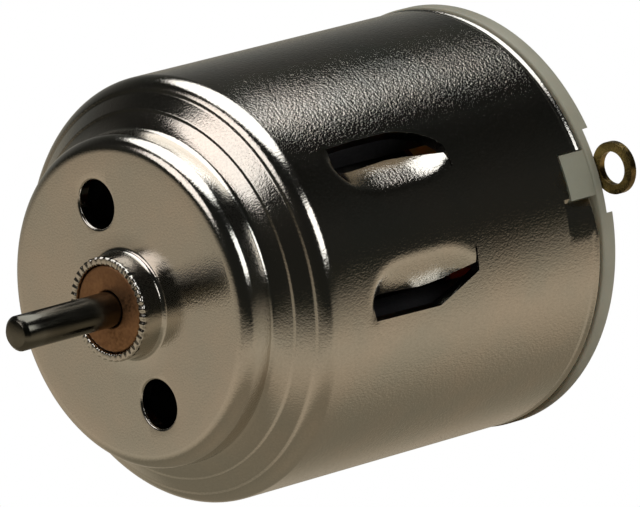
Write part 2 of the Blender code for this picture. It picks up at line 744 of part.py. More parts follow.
def build_commutator():
    low, high = COMM_HUB
    front, back = COMM_FLANGE
    profile = [
        (ROTOR_BORE, low),
        (COMM_CORE_RADIUS, low),
        (COMM_CORE_RADIUS, front),
        (COMM_FLANGE_RADIUS, front),
        (COMM_FLANGE_RADIUS, back),
        (COMM_CORE_RADIUS, back),
        (COMM_CORE_RADIUS, high),
        (ROTOR_BORE, high),
    ]
    turned("commutator_hub", profile, PHENOLIC).parent = ROTOR
    half = 180 / POLES - SEGMENT_GAP_ANGLE / 2
    for index in range(POLES):
        turn = 360 / POLES * index + 180 / POLES
        name = f"commutator_segment_{index + 1}"
        outline = sector(SEGMENT_INNER, SEGMENT_OUTER, turn - half, turn + half, 10)
        segment = to_mesh(slab(name, [outline], SEGMENT, COPPER))
        reach = (SEGMENT_INNER + SEGMENT_OUTER) / 2
        tang = [
            (reach, -TANG_WIDTH / 2),
            (TANG_REACH, -TANG_WIDTH / 2),
            (TANG_REACH, TANG_WIDTH / 2),
            (reach, TANG_WIDTH / 2),
        ]
        span = (SEGMENT[0] + 0.02, SEGMENT[0] + TANG_THICKNESS)
        tang = to_mesh(slab(f"tang_{index + 1}", [tang], span, COPPER, CUTTERS))
        for piece in (segment, tang):
            piece.parent = ROTOR
        tang.rotation_euler = (0, 0, radians(turn))
        combine(segment, tang, "UNION")
    collar = (SEGMENT_OUTER + FIT, COMM_RING_RADIUS, COMM_RING)
    ring("commutator_ring", *collar, FIBRE).parent = ROTOR


build_can()
build_bushings()
build_magnets()
build_magnet_spring()
build_end_cap()
for terminal_label, terminal_turn in (("right", 0), ("left", 180)):
    build_terminal(terminal_label, terminal_turn)
    build_brush_gear(terminal_label, terminal_turn)
build_shaft()
build_core()
build_coils()
build_washers()
build_commutator()
for piece in PARTS.objects:
    if piece.type == "MESH":
        smooth(piece)
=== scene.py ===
"""Looks of the small brushed DC motor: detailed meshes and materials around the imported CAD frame.

Row frame: origin at the centre of the front mounting face, shaft towards -Y, mounting holes at
+Z and -Z, terminals at +X and -X. Angles are degrees about the shaft, from +X towards +Z.
Shapes are worked out in millimetres and stored in metres.
"""

import json
from math import cos, pi, radians, sin, tan

import bmesh
import bpy
import numpy as np
from mathutils import Matrix, Vector


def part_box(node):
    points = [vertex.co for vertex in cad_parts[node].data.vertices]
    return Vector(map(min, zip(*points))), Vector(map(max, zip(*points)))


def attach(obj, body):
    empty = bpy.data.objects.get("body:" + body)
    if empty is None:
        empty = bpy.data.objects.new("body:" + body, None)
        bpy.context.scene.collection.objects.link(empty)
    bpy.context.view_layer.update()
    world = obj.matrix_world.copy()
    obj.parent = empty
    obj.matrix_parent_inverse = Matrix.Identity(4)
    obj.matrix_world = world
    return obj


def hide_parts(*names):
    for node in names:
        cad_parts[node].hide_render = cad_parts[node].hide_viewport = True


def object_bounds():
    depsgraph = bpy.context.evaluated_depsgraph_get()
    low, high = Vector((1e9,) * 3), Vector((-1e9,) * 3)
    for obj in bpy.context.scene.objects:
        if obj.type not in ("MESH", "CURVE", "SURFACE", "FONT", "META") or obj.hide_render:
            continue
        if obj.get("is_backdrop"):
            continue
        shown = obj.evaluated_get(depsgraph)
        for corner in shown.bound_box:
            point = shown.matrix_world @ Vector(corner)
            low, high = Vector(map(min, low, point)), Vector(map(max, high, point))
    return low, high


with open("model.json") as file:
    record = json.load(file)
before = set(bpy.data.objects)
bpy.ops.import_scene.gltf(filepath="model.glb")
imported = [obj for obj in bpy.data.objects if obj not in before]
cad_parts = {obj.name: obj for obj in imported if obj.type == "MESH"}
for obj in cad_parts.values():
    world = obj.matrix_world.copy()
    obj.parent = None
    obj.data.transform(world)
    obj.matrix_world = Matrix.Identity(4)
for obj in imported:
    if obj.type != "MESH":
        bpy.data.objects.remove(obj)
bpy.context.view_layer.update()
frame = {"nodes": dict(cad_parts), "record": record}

MM = 0.001


def box_mm(node):
    """Lowest and highest corner of a CAD node in millimetres."""
    low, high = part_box(node)
    return low / MM, high / MM


# ---------------------------------------------------------------- sizes read from the frame

CAN_LOW, CAN_HIGH = box_mm("can")
CAP_LOW, CAP_HIGH = box_mm("end_cap")
SHAFT_LOW, SHAFT_HIGH = box_mm("shaft")
BUSH_LOW, BUSH_HIGH = box_mm("front_bushing")
REAR_BUSH_LOW, REAR_BUSH_HIGH = box_mm("rear_bushing")
TERMINAL_LOW, TERMINAL_HIGH = box_mm("terminal_right")

CAN_RADIUS = CAN_HIGH.z
CAN_REAR = CAN_HIGH.y
COLLAR_FRONT = CAN_LOW.y
SHAFT_RADIUS = SHAFT_HIGH.z
BUSH_RADIUS = BUSH_HIGH.z
CAP_RADIUS = 12.2

WALL = 0.7
NOSE_RADIUS = 9.42
NOSE_CORNER = 0.92
SHOULDER_LEAN = 28
SHOULDER_MIDDLE = (10.7, 3.05)
SHOULDER_FILLET = 1.15
STEP_FILLET = 0.4
# The pressed ledge, from the shoulder inward: the width of each stretch and how far it tips forward.
LEDGE_STEPS = (
    (0.05, 68),
    (0.11, 76),
    (0.06, 64),
    (0.05, 56),
    (0.68, 49),
    (0.05, 58),
    (0.05, 68),
    (0.09, 76),
    (0.06, 66),
    (0.705, 55),
)
TERMINAL_TURN = 2.2
SIDE_TURN = 1.5  # tabs, keys and terminals stand turned by this much from the mounting holes
COLLAR_RADIUS = 2.96
COLLAR_BORE = 2.5
HOLE_RADIUS = 1.38
HOLE_FLARE = 0.16
HOLE_PITCH_RADIUS = 5.79


# ---------------------------------------------------------------- mesh helpers


def finish_mesh(name, bm, sharp=35, weld=1e-7):
    """Closes a bmesh into a new object: metres, outward normals, smooth with sharp edges."""
    bmesh.ops.remove_doubles(bm, verts=bm.verts, dist=weld)
    bmesh.ops.recalc_face_normals(bm, faces=bm.faces)
    mesh = bpy.data.meshes.new(name)
    bm.to_mesh(mesh)
    bm.free()
    mesh.shade_smooth()
    mesh.set_sharp_from_angle(angle=radians(sharp))
    obj = bpy.data.objects.new(name, mesh)
    bpy.context.scene.collection.objects.link(obj)
    return obj


def polar(radius, angle):
    return radius * cos(radians(angle)), radius * sin(radians(angle))


def arc(center, radius, start, end, steps):
    turns = [start + (end - start) * i / steps for i in range(steps + 1)]
    return [(center[0] + x, center[1] + y) for x, y in (polar(radius, turn) for turn in turns)]


def rounded(corners, steps=5):
    """A closed outline of (x, y, fillet) corners, with each fillet drawn as an arc."""
    outline = []
    count = len(corners)
    for i, (x, y, fillet) in enumerate(corners):
        here = Vector((x, y))
        if not fillet:
            outline.append((x, y))
            continue
        before = (Vector(corners[i - 1][:2]) - here).normalized()
        after = (Vector(corners[(i + 1) % count][:2]) - here).normalized()
        half = before.angle(after) / 2
        reach = fillet / np.tan(half)
        center = here + (before + after).normalized() * fillet / sin(half)
        start = here + before * reach - center
        end = here + after * reach - center
        turn = start.angle_signed(end)
        for k in range(steps + 1):
            point = start.copy()
            point.rotate(Matrix.Rotation(-turn * k / steps, 2))
            outline.append(tuple(center + point))
    return outline


def lathe(name, outline, segments=160, wobble=None, sharp=35):
    """A closed (radius, y) outline turned about the shaft. wobble(angle, r, y) may move each point."""
    bm = bmesh.new()
    rings = []
    for j in range(segments):
        angle = 360 * j / segments
        ring = []
        for r, y in outline:
            if wobble:
                r_here, y_here = wobble(angle, r, y)
            else:
                r_here, y_here = r, y
            x, z = polar(r_here, angle)
            ring.append(bm.verts.new((x * MM, y_here * MM, z * MM)))
        rings.append(ring)
    count = len(outline)
    for j in range(segments):
        here, there = rings[j], rings[(j + 1) % segments]
        for i in range(count):
            k = (i + 1) % count
            bm.faces.new((here[i], here[k], there[k], there[i]))
    return finish_mesh(name, bm, sharp)


def spindle(name, outline, segments=96, sharp=35):
    """A solid of revolution: an open (radius, y) outline whose ends lie on the shaft's axis."""
    bm = bmesh.new()
    rings = []
    for r, y in outline:
        if r < 1e-9:
            rings.append([bm.verts.new((0, y * MM, 0))])
        else:
            ring = [polar(r, 360 * j / segments) for j in range(segments)]
            rings.append([bm.verts.new((x * MM, y * MM, z * MM)) for x, z in ring])
    for here, there in zip(rings, rings[1:]):
        for j in range(segments):
            k = (j + 1) % segments
            corners = [here[j % len(here)], here[k % len(here)], there[k % len(there)], there[j % len(there)]]
            unique = list(dict.fromkeys(corners))
            if len(unique) > 2:
                bm.faces.new(unique)
    return finish_mesh(name, bm, sharp)


def boolean(obj, cutter, operation="DIFFERENCE"):
    """Applies an exact Boolean and removes the cutter."""
    modifier = obj.modifiers.new("cut", "BOOLEAN")
    modifier.operation = operation
    modifier.solver = "EXACT"
    modifier.object = cutter
    bake_modifiers(obj)
    obj.data.shade_smooth()
    obj.data.set_sharp_from_angle(angle=radians(35))
    bpy.data.objects.remove(cutter, do_unlink=True)


def bake_modifiers(obj):
    """Replaces the mesh by what its modifiers make of it."""
    bpy.context.view_layer.update()
    graph = bpy.context.evaluated_depsgraph_get()
    mesh = bpy.data.meshes.new_from_object(obj.evaluated_get(graph))
    obj.modifiers.clear()
    obj.data = mesh


def bevel(obj, width, segments=2, angle=40):
    modifier = obj.modifiers.new("soft_edges", "BEVEL")
    modifier.width = width * MM
    modifier.segments = segments
    modifier.limit_method = "ANGLE"
    modifier.angle_limit = radians(angle)
    flatten = obj.modifiers.new("even_shading", "WEIGHTED_NORMAL")
    flatten.mode = "FACE_AREA"
    flatten.weight = 100
    flatten.keep_sharp = True
    bake_modifiers(obj)


def prism(name, outline, low, high):
    """A flat (x, z) outline stretched along the shaft from y = low to y = high."""
    bm = bmesh.new()
    front = [bm.verts.new((x * MM, low * MM, z * MM)) for x, z in outline]
    back = [bm.verts.new((x * MM, high * MM, z * MM)) for x, z in outline]
    bm.faces.new(front)
    bm.faces.new(back[::-1])
    count = len(outline)
    for i in range(count):
        k = (i + 1) % count
        bm.faces.new((front[i], back[i], back[k], front[k]))
    return finish_mesh(name, bm, 30)


def turn_piece(obj, angle):
    """Turns a piece about the shaft, towards -Z at the window side."""
    obj.data.transform(Matrix.Rotation(radians(angle), 4, "Y"))


def carry(obj, body, *nodes):
    """The new piece stands for CAD nodes and rides on their body."""
    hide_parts(*nodes)
    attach(obj, body)
    return obj


# ---------------------------------------------------------------- the steel can

COLUMNS = 360
TAB_START = 6  # columns of the pressed tabs, in degrees either side of +X
TAB_END = 19
GAP_END = 25
ROW_STEP = 0.25
SIDE_START = 4.486
SLOT_FRONT = 7.45
SLOT_CORNER = 12.4
SLOT_REAR = 15.5
SLIT = 0.12
SLIT_START = 13
CRIMP_COLUMNS = 16
NOTCH_COLUMNS = 6
NOTCH_ANGLE = 6.6
NOTCH_FRONT = 23.27
CRIMP_ANGLE = 17
CRIMP_FRONT = 22.85
CRIMP_DEPTH = 0.28
FLARE_FRONT = 24.55
PRESS_START = 6.7
PRESS_FULL = 8.2
RIM = 0.25


def smoothstep(x, low, high):
    t = min(max((x - low) / (high - low), 0), 1)
    return t * t * (3 - 2 * t)


def lerp(x, xs, ys):
    return float(np.interp(x, xs, ys))


def fold_angle(y):
    """Where the pressed tab starts to leave the wall, curving away at both ends."""
    return 7.6 + 7 * (abs(y - 11.4) / 4.4) ** 4


def tab_edge_angle(y):
    return lerp(y, (SLOT_FRONT, 10.5, 12.0, 13.3, 14.5, SLOT_REAR - SLIT), (17.4, 18.5, 19.0, 18.2, 16.6, 15.3))


def gap_edge_angle(y, side):
    """The slot's outer edge: the one above the terminal curves away, the one below has a corner."""
    if side > 0:
        return lerp(y, (7.4, 9.3, 12.1, 13.0, 13.8, 14.6, 15.2, 15.5), (24.3, 24.8, 24.7, 24.1, 22.9, 21.1, 19.0, 17.2))
    return lerp(y, (7.4, SLOT_CORNER, SLOT_REAR), (23.8, 24.2, 17.6))


def press_depth(column, angle, y, past_edges=False):
    """How far the tab is pressed in, in millimetres, or would be if it ran on past its cut edges."""
    angle = abs(angle)
    beyond = angle - fold_angle(y)
    last = GAP_END if y < SLOT_FRONT or past_edges else TAB_END
    rear = SLOT_REAR + 0.3 if past_edges else SLOT_REAR
    if min(column, 360 - column) > last or beyond <= 0 or not PRESS_START < y < rear:
        return 0.0
    run = beyond**2 / 6 if beyond < 3 else beyond - 1.5
    slope = lerp(y, (PRESS_FULL, 13.0, SLOT_REAR), (0.1, 0.1, 0.075))
    fade = 1 - smoothstep(angle, 18.4, 25) if y < SLOT_FRONT else 1
    return slope * run * fade * smoothstep(y, PRESS_START, PRESS_FULL)


def rear_shift(column, angle, y):
    """How far the wall lies inside its plain radius near the rear: the crimp by the key, then the flared lip."""
    near = min(column, 360 - column)
    below_key = column > 180
    if below_key and NOTCH_COLUMNS <= near <= CRIMP_COLUMNS and y > CRIMP_FRONT - 0.01:
        return CRIMP_DEPTH * (CRIMP_ANGLE - abs(angle)) / (CRIMP_ANGLE - NOTCH_ANGLE)
    return lerp(y, (FLARE_FRONT, 24.75, 24.87, CAN_REAR - RIM), (0, 0.045, 0.05, -0.02))


def column_angle(column, y):
    """The true angle of a column of the wall's grid, so that its lines follow the cut edges."""
    side = -1 if column > 180 else 1
    nominal = 360 - column if column > 180 else column
    window = smoothstep(y, 5.0, PRESS_START) * (1 - smoothstep(y, SLOT_REAR, 18.5))
    y_in = min(max(y, SLOT_FRONT), SLOT_REAR)
    knots = (0, TAB_START, TAB_END, GAP_END, 34)
    targets = (0, TAB_START, tab_edge_angle(y_in), gap_edge_angle(y_in, side), 34)
    if nominal < 34:
        angle = nominal + window * (lerp(nominal, knots, targets) - nominal)
        notch = lerp(nominal, (0, NOTCH_COLUMNS, 16, 34), (0, NOTCH_ANGLE, 16, 34))
        angle += smoothstep(y, 20, NOTCH_FRONT - 0.5) * (notch - nominal)
    elif nominal > 164:
        near = 180 - nominal
        angle = 180 - lerp(near, (0, NOTCH_COLUMNS, 16), (0, NOTCH_ANGLE, 16))
    else:
        angle = nominal
    return side * angle


def wall_rows():
    """Heights of the wall's grid lines, finer where the slots start and end."""
    marks = [SIDE_START, 5.5, PRESS_START, SLOT_FRONT - 0.02, SLOT_CORNER, SLOT_REAR - SLIT, SLOT_REAR]
    marks += [18.0, CRIMP_FRONT - 0.04, CRIMP_FRONT, NOTCH_FRONT, FLARE_FRONT - 0.1, CAN_REAR - RIM]
    rows = []
    for low, high in zip(marks, marks[1:]):
        pieces = max(1, round((high - low) / (ROW_STEP if high < 16 else 0.6)))
        if low > 24:
            pieces = 9
        rows += [low + (high - low) * i / pieces for i in range(pieces)]
    return rows + [marks[-1]]


def wall_open(column, y_mid):
    """True where the wall has been cut away: the two slots, their rear slits and the key notches."""
    nominal = min(column, 360 - column)
    if SLOT_FRONT - 0.02 < y_mid < SLOT_REAR:
        if TAB_END < nominal < GAP_END:
            return True
        if y_mid > SLOT_REAR - SLIT and SLIT_START < nominal <= TAB_END:
            return True
    near_key = nominal < NOTCH_COLUMNS or nominal > 180 - NOTCH_COLUMNS
    return near_key and y_mid > NOTCH_FRONT


def collar_wobble(angle, y):
    """The staked lip is a ring of small bites."""
    bite = 0.5 + 0.5 * cos(radians(angle * 40))
    return bite * smoothstep(-y, -COLLAR_FRONT - 0.35, -COLLAR_FRONT - 0.02)


def shoulder_center(radius, behind):
    """Centre of a fillet that touches the shoulder's cone, given how far behind the cone it lies."""
    middle_radius, middle_y = SHOULDER_MIDDLE
    lean = radians(SHOULDER_LEAN)
    return (radius, middle_y + ((radius - middle_radius) * sin(lean) + behind) / cos(lean))


def nose_outline():
    """Rings from the wall's outer skin forward over the nose and collar, then back inside."""
    shoulder = shoulder_center(CAN_RADIUS - SHOULDER_FILLET, SHOULDER_FILLET)
    fillet = shoulder_center(NOSE_RADIUS + STEP_FILLET, -STEP_FILLET)
    tangent = SHOULDER_LEAN - 90
    nose = (NOSE_RADIUS - NOSE_CORNER, NOSE_CORNER)
    base = (COLLAR_RADIUS + 0.3, -0.3)
    lip = (COLLAR_RADIUS - 0.12, COLLAR_FRONT + 0.12)
    edge = (COLLAR_BORE + 0.1, COLLAR_FRONT + 0.1)
    outer = arc(shoulder, SHOULDER_FILLET, 0, tangent, 14)
    for width, tilt in LEDGE_STEPS:
        radius, y = outer[-1]
        outer.append((radius - width, y - width / tan(radians(tilt))))
    step = (NOSE_RADIUS + STEP_FILLET, outer[-1][1] - STEP_FILLET * sin(radians(LEDGE_STEPS[-1][1])))
    outer += arc(step, STEP_FILLET, 180 - LEDGE_STEPS[-1][1], 180, 9)[1:]
    outer += arc(nose, NOSE_CORNER, 0, -90, 14)
    outer += [(NOSE_RADIUS - NOSE_CORNER - i * 0.85, 0) for i in range(1, 6)]
    outer += arc(base, 0.3, 90, 180, 6)
    outer += [(COLLAR_RADIUS, -0.75), (COLLAR_RADIUS, -1.1), (COLLAR_RADIUS, -1.3)]
    outer += arc(lip, 0.12, 0, -90, 4)
    outer += arc(edge, 0.1, -90, -180, 4)
    inner = [(COLLAR_BORE, -1.0), (COLLAR_BORE, WALL)]
    inner += [(4.5, WALL), (7.2, WALL)]
    inner += arc(nose, NOSE_CORNER - WALL, -90, 0, 4)
    inner += arc(fillet, STEP_FILLET + WALL, 180, 180 + tangent, 6)
    inner += arc(shoulder, SHOULDER_FILLET - WALL, tangent, 0, 4)
    return outer, inner


def build_can():
    rows = wall_rows()
    angles = np.array([[column_angle(j, y) for j in range(COLUMNS)] for y in rows])
    depth = np.array([[press_depth(j, a, y) for j, a in enumerate(line)] for line, y in zip(angles, rows)])
    beyond = np.array([[press_depth(j, a, y, True) for j, a in enumerate(line)] for line, y in zip(angles, rows)])
    shift = np.array([[rear_shift(j, a, y) for j, a in enumerate(line)] for line, y in zip(angles, rows)])
    spin = np.radians(angles - SIDE_TURN)
    radius = CAN_RADIUS - depth - shift
    tall = np.array(rows)[:, None] * np.ones_like(radius)
    outer = np.stack([radius * np.cos(spin), tall, radius * np.sin(spin)], -1)
    free = CAN_RADIUS - beyond - shift
    sheet = np.stack([free * np.cos(spin), tall, free * np.sin(spin)], -1)
    along = np.gradient(sheet, axis=0)
    around = np.roll(sheet, -1, axis=1) - np.roll(sheet, 1, axis=1)
    normal = np.cross(along, around)
    normal /= np.linalg.norm(normal, axis=-1, keepdims=True)
    radial = np.stack([np.cos(spin), np.zeros_like(spin), np.sin(spin)], -1)
    normal *= np.sign((normal * radial).sum(-1, keepdims=True))
    plain = (depth + np.abs(shift))[..., None] < 1e-6
    normal = np.where(plain, radial, normal)
    inner = outer - WALL * normal
    rim_spin = spin[-1]
    rim_shift = shift[-1]
    rim_outer = []
    rim_inner = []
    for step, (r, y) in enumerate(arc((CAN_RADIUS - RIM, CAN_REAR - RIM), RIM, 0, 90, 5)[1:]):
        y_inner = CAN_REAR - RIM * (4 - step) / 5
        for rings, r_here, y_here in ((rim_outer, r - rim_shift, y), (rim_inner, CAN_RADIUS - WALL - rim_shift, y_inner)):
            rings.append(np.stack([r_here * np.cos(rim_spin), np.full(COLUMNS, y_here), r_here * np.sin(rim_spin)], -1))
    outer = np.concatenate([outer, np.array(rim_outer)])
    inner = np.concatenate([inner, np.array(rim_inner)])
    heights = rows + [CAN_REAR] * len(rim_outer)

    bm = bmesh.new()
    skin = [[[bm.verts.new(p * MM) for p in line] for line in sheet] for sheet in (outer, inner)]
    count = len(heights)
    solid = np.array(
        [
            [not wall_open(j + 0.5, (heights[i] + heights[i + 1]) / 2) for j in range(COLUMNS)]
            for i in range(count - 1)
        ]
    )
    for i in range(count - 1):
        for j in range(COLUMNS):
            if not solid[i, j]:
                continue
            k = (j + 1) % COLUMNS
            for sheet in skin:
                bm.faces.new((sheet[i][j], sheet[i + 1][j], sheet[i + 1][k], sheet[i][k]))
            sides = (
                ((i, j), (i, k), i == 0 or not solid[i - 1, j], i == 0),
                ((i + 1, j), (i + 1, k), i == count - 2 or not solid[i + 1, j], False),
                ((i, j), (i + 1, j), not solid[i, j - 1], False),
                ((i, k), (i + 1, k), not solid[i, k], False),
            )
            for (a, b), (c, d), is_edge, joins_nose in sides:
                if is_edge and not joins_nose:
                    bm.faces.new((skin[0][a][b], skin[0][c][d], skin[1][c][d], skin[1][a][b]))
    nose_out, nose_in = nose_outline()
    previous = skin[0][0]
    turns = spin[0]
    for r, y in nose_out + nose_in:
        ring = []
        for j in range(COLUMNS):
            bite = collar_wobble(np.degrees(turns[j]), y) if r < 3.1 and y < 0 else 0
            here = r - 0.035 * bite * np.sign(r - 2.73)
            ring.append(bm.verts.new(Vector((here * cos(turns[j]), y + 0.05 * bite, here * sin(turns[j]))) * MM))
        for j in range(COLUMNS):
            k = (j + 1) % COLUMNS
            bm.faces.new((previous[j], previous[k], ring[k], ring[j]))
        previous = ring
    for j in range(COLUMNS):
        k = (j + 1) % COLUMNS
        bm.faces.new((previous[j], previous[k], skin[1][0][k], skin[1][0][j]))
    loose = [v for v in bm.verts if not v.link_faces]
    bmesh.ops.delete(bm, geom=loose, context="VERTS")
    can = finish_mesh("can_shell", bm, 32)
    for side in (1, -1):
        flare = HOLE_FLARE
        outline = [(0, -1), (HOLE_RADIUS + flare, -1)]
        outline += arc((HOLE_RADIUS + flare, flare), flare, -90, -180, 5)
        outline += [(HOLE_RADIUS, 2), (0, 2)]
        hole = spindle("hole_tool", outline, 72)
        hole.data.transform(Matrix.Translation((0, 0, side * HOLE_PITCH_RADIUS * MM)))
        boolean(can, hole)
    bevel(can, 0.06, 3, 50)
    return carry(can, "housing", "can")


# ---------------------------------------------------------------- turned and moulded pieces


def build_bushings():
    made = []
    for name, low, high, node in (
        ("front_bushing_sintered", BUSH_LOW.y, BUSH_HIGH.y, "front_bushing"),
        ("rear_bushing_sintered", REAR_BUSH_LOW.y, REAR_BUSH_HIGH.y, "rear_bushing"),
    ):
        outline = rounded(
            [
                (1.03, low, 0.12),
                (BUSH_RADIUS, low, 0.14),
                (BUSH_RADIUS, high, 0.14),
                (1.03, high, 0.12),
            ]
        )
        made.append(carry(lathe(name, outline, 128), "housing", node))
    return made


def build_shaft():
    low, high = SHAFT_LOW.y, SHAFT_HIGH.y
    chamfer = 0.22
    outline = [(0, low), (SHAFT_RADIUS - chamfer - 0.03, low), (SHAFT_RADIUS - chamfer, low + 0.02)]
    outline += [(SHAFT_RADIUS - 0.02, low + chamfer), (SHAFT_RADIUS, low + chamfer + 0.04)]
    outline += [(SHAFT_RADIUS, low + (high - low) * i / 24) for i in range(1, 24)]
    outline += [(SHAFT_RADIUS, high - chamfer), (SHAFT_RADIUS - chamfer, high), (0, high)]
    return carry(spindle("shaft_ground", outline), "rotor", "shaft")


def build_end_cap():
    front = CAN_REAR + 0.05
    rear = 26.4
    outline = rounded(
        [
            (2.5, 24.75, 0.1),
            (3.6, 24.75, 0.2),
            (3.6, front, 0.3),
            (10.3, front, 0.3),
            (10.3, 22.8, 0.15),
            (11.33, 22.8, 0.35),
            (11.33, front, 0),
            (CAP_RADIUS, front, 0.12),
            (CAP_RADIUS, rear, 0.18),
            (4.5, rear, 0.25),
            (4.5, CAP_HIGH.y, 0.35),
            (2.5, CAP_HIGH.y, 0.15),
        ]
    )
    cap = lathe("end_cap_moulding", outline, 240)
    for side in (1, -1):
        key = arc((0, 0), CAN_RADIUS - 0.03, -6.25, 6.25, 14) + arc((0, 0), 10.8, 6.25, -6.25, 8)
        boolean(cap, prism("key_tool", [(side * x, z) for x, z in key], 23.42, front + 0.35), "UNION")
        recess = [(8.4, -2.45), (13.5, -2.45), (13.5, 2.45), (8.4, 2.45)]
        boolean(cap, prism("recess_tool", [(side * x, z) for x, z in recess], 25.85, 27.5))
        slot = [(8.6, -1.4), (9.4, -1.4), (9.4, 1.4), (8.6, 1.4)]
        boolean(cap, prism("slot_tool", [(side * x, z) for x, z in slot], 24.7, 27.7))
    bevel(cap, 0.06, 2, 45)
    turn_piece(cap, SIDE_TURN)
    return carry(cap, "housing", "end_cap")


def build_terminal(side, label):
    """Stamped ring terminal, its leg folded forward inside the end cap."""
    low, high = 25.9, 26.3
    ring_x, ring_radius, hole_radius = 13.3, 1.5, 0.95
    neck = 30.0
    outline = arc((ring_x, 0), ring_radius, neck - 180, 180 - neck, 40)
    outline += [(11.73, 0.76), (11.43, 1.2), (8.8, 1.2), (8.8, -1.2), (11.43, -1.2), (11.73, -0.76)]
    plate = prism(f"terminal_{label}_brass", outline, low, high)
    boolean(plate, prism("eye_tool", arc((ring_x, 0), hole_radius, 0, 351, 39), low - 1, high + 1))
    leg = bmesh.new()
    flat = [(-1.2, high - 0.03), (1.2, high - 0.03), (1.2, 22.65), (5.3, 22.65), (5.3, 20.9), (-1.2, 20.9)]
    faces = [[leg.verts.new((x * MM, y * MM, -z * MM)) for z, y in flat] for x in (8.82, 9.2)]
    leg.faces.new(faces[0])
    leg.faces.new(faces[1][::-1])
    for i in range(len(flat)):
        k = (i + 1) % len(flat)
        leg.faces.new((faces[0][i], faces[1][i], faces[1][k], faces[0][k]))
    boolean(plate, finish_mesh("leg_tool", leg), "UNION")
    bevel(plate, 0.06, 3, 50)
    if side < 0:
        plate.data.transform(Matrix.Rotation(pi, 4, "Y"))
    turn_piece(plate, TERMINAL_TURN)
    return carry(plate, "housing", f"terminal_{label}")


# ---------------------------------------------------------------- materials


class Nodes:
    """A short way to wire one procedural material."""

    def __init__(self, name):
        self.material = bpy.data.materials.new(name)
        self.material.use_nodes = True
        self.tree = self.material.node_tree
        self.shader = self.tree.nodes["Principled BSDF"]

    def add(self, kind, **settings):
        node = self.tree.nodes.new(kind)
        for key, value in settings.items():
            if hasattr(node, key):
                setattr(node, key, value)
            else:
                node.inputs[key.replace("_", " ").title()].default_value = value
        return node

    def link(self, source, target):
        self.tree.links.new(source, target)

    def place(self, stretch=(1, 1, 1)):
        coordinates = self.add("ShaderNodeTexCoord")
        mapping = self.add("ShaderNodeMapping")
        mapping.inputs["Scale"].default_value = stretch
        self.link(coordinates.outputs["Object"], mapping.inputs["Vector"])
        return mapping.outputs["Vector"]

    def noise(self, vector, scale, detail=3.0, roughness=0.55):
        node = self.add("ShaderNodeTexNoise", scale=scale, detail=detail, roughness=roughness)
        self.link(vector, node.inputs["Vector"])
        return node.outputs["Fac"]

    def range(self, value, low, high, from_low=0.3, from_high=0.7):
        node = self.add("ShaderNodeMapRange")
        node.inputs["From Min"].default_value = from_low
        node.inputs["From Max"].default_value = from_high
        node.inputs["To Min"].default_value = low
        node.inputs["To Max"].default_value = high
        self.link(value, node.inputs["Value"])
        return node.outputs["Result"]

    def mix(self, factor, first, second):
        node = self.add("ShaderNodeMix", data_type="RGBA")
        sockets = [s for s in node.inputs if s.type == "RGBA"]
        for socket, value in zip(sockets, (first, second)):
            if isinstance(value, tuple):
                socket.default_value = (*value, 1)
            else:
                self.link(value, socket)
        self.link(factor, node.inputs["Factor"])
        return [s for s in node.outputs if s.type == "RGBA"][0]

    def bump(self, height, strength, distance):
        node = self.add("ShaderNodeBump")
        node.inputs["Strength"].default_value = strength
        node.inputs["Distance"].default_value = distance
        self.link(height, node.inputs["Height"])
        return node

    def finish(self, color, roughness, normal=None, metallic=0.0, **sockets):
        self.link(color, self.shader.inputs["Base Color"])
        self.link(roughness, self.shader.inputs["Roughness"])
        if normal:
            self.link(normal.outputs["Normal"], self.shader.inputs["Normal"])
        self.shader.inputs["Metallic"].default_value = metallic
        for key, value in sockets.items():
            self.shader.inputs[key.replace("_", " ").title()].default_value = value
        return self.material


def metal(name, light, dark, rough, grain_scale, grain, stretch=(1, 1, 1), tarnish_scale=350):
    """Metal with slow tarnish, fine grain and roughness that varies with the grain."""
    n = Nodes(name)
    slow = n.noise(n.place(), tarnish_scale, 4)
    fine = n.noise(n.place(stretch), grain_scale, 2, 0.6)
    color = n.mix(n.range(slow, 0, 1), light, dark)
    spread = n.range(fine, rough * 0.75, rough * 1.35)
    return n.finish(color, spread, n.bump(fine, grain, 0.00002), metallic=1.0)


def matte(name, light, dark, rough, grain_scale, grain, blotch_scale=300, **sockets):
    """Moulded or pressed stuff with soft mottling and a fine skin texture."""
    n = Nodes(name)
    slow = n.noise(n.place(), blotch_scale, 4)
    fine = n.noise(n.place(), grain_scale, 3)
    color = n.mix(n.range(slow, 0, 1), light, dark)
    spread = n.range(fine, rough * 0.85, rough * 1.15)
    return n.finish(color, spread, n.bump(fine, grain, 0.00003), **sockets)


def nickel_material():
    """Satin nickel: faint pink and grey clouds, axial grain, and a pebbled skin that breaks reflections."""
    n = Nodes("satin_nickel")
    clouds = n.noise(n.place(), 190, 3)
    pebbles = n.noise(n.place((1, 0.6, 1)), 8800, 2, 0.6)
    broad = n.noise(n.place((1, 0.3, 1)), 1700, 2, 0.5)
    tint = n.mix(n.range(clouds, 0, 1, 0.36, 0.64), (0.70, 0.645, 0.575), (0.62, 0.61, 0.56))
    shade = n.range(pebbles, 0.0, 0.16)
    color = n.mix(shade, tint, (0.30, 0.29, 0.27))
    rough = n.range(pebbles, 0.09, 0.16)
    fine = n.bump(pebbles, 0.85, 0.00002)
    split = n.add("ShaderNodeSeparateXYZ")
    n.link(n.place(), split.inputs["Vector"])
    drawn = n.range(split.outputs["Y"], 0.4, 0.85, 0.0042, 0.006)
    n.link(drawn, fine.inputs["Strength"])
    wavy = n.bump(broad, 0.04, 0.00003)
    n.link(wavy.outputs["Normal"], fine.inputs["Normal"])
    return n.finish(color, rough, fine, metallic=1.0)


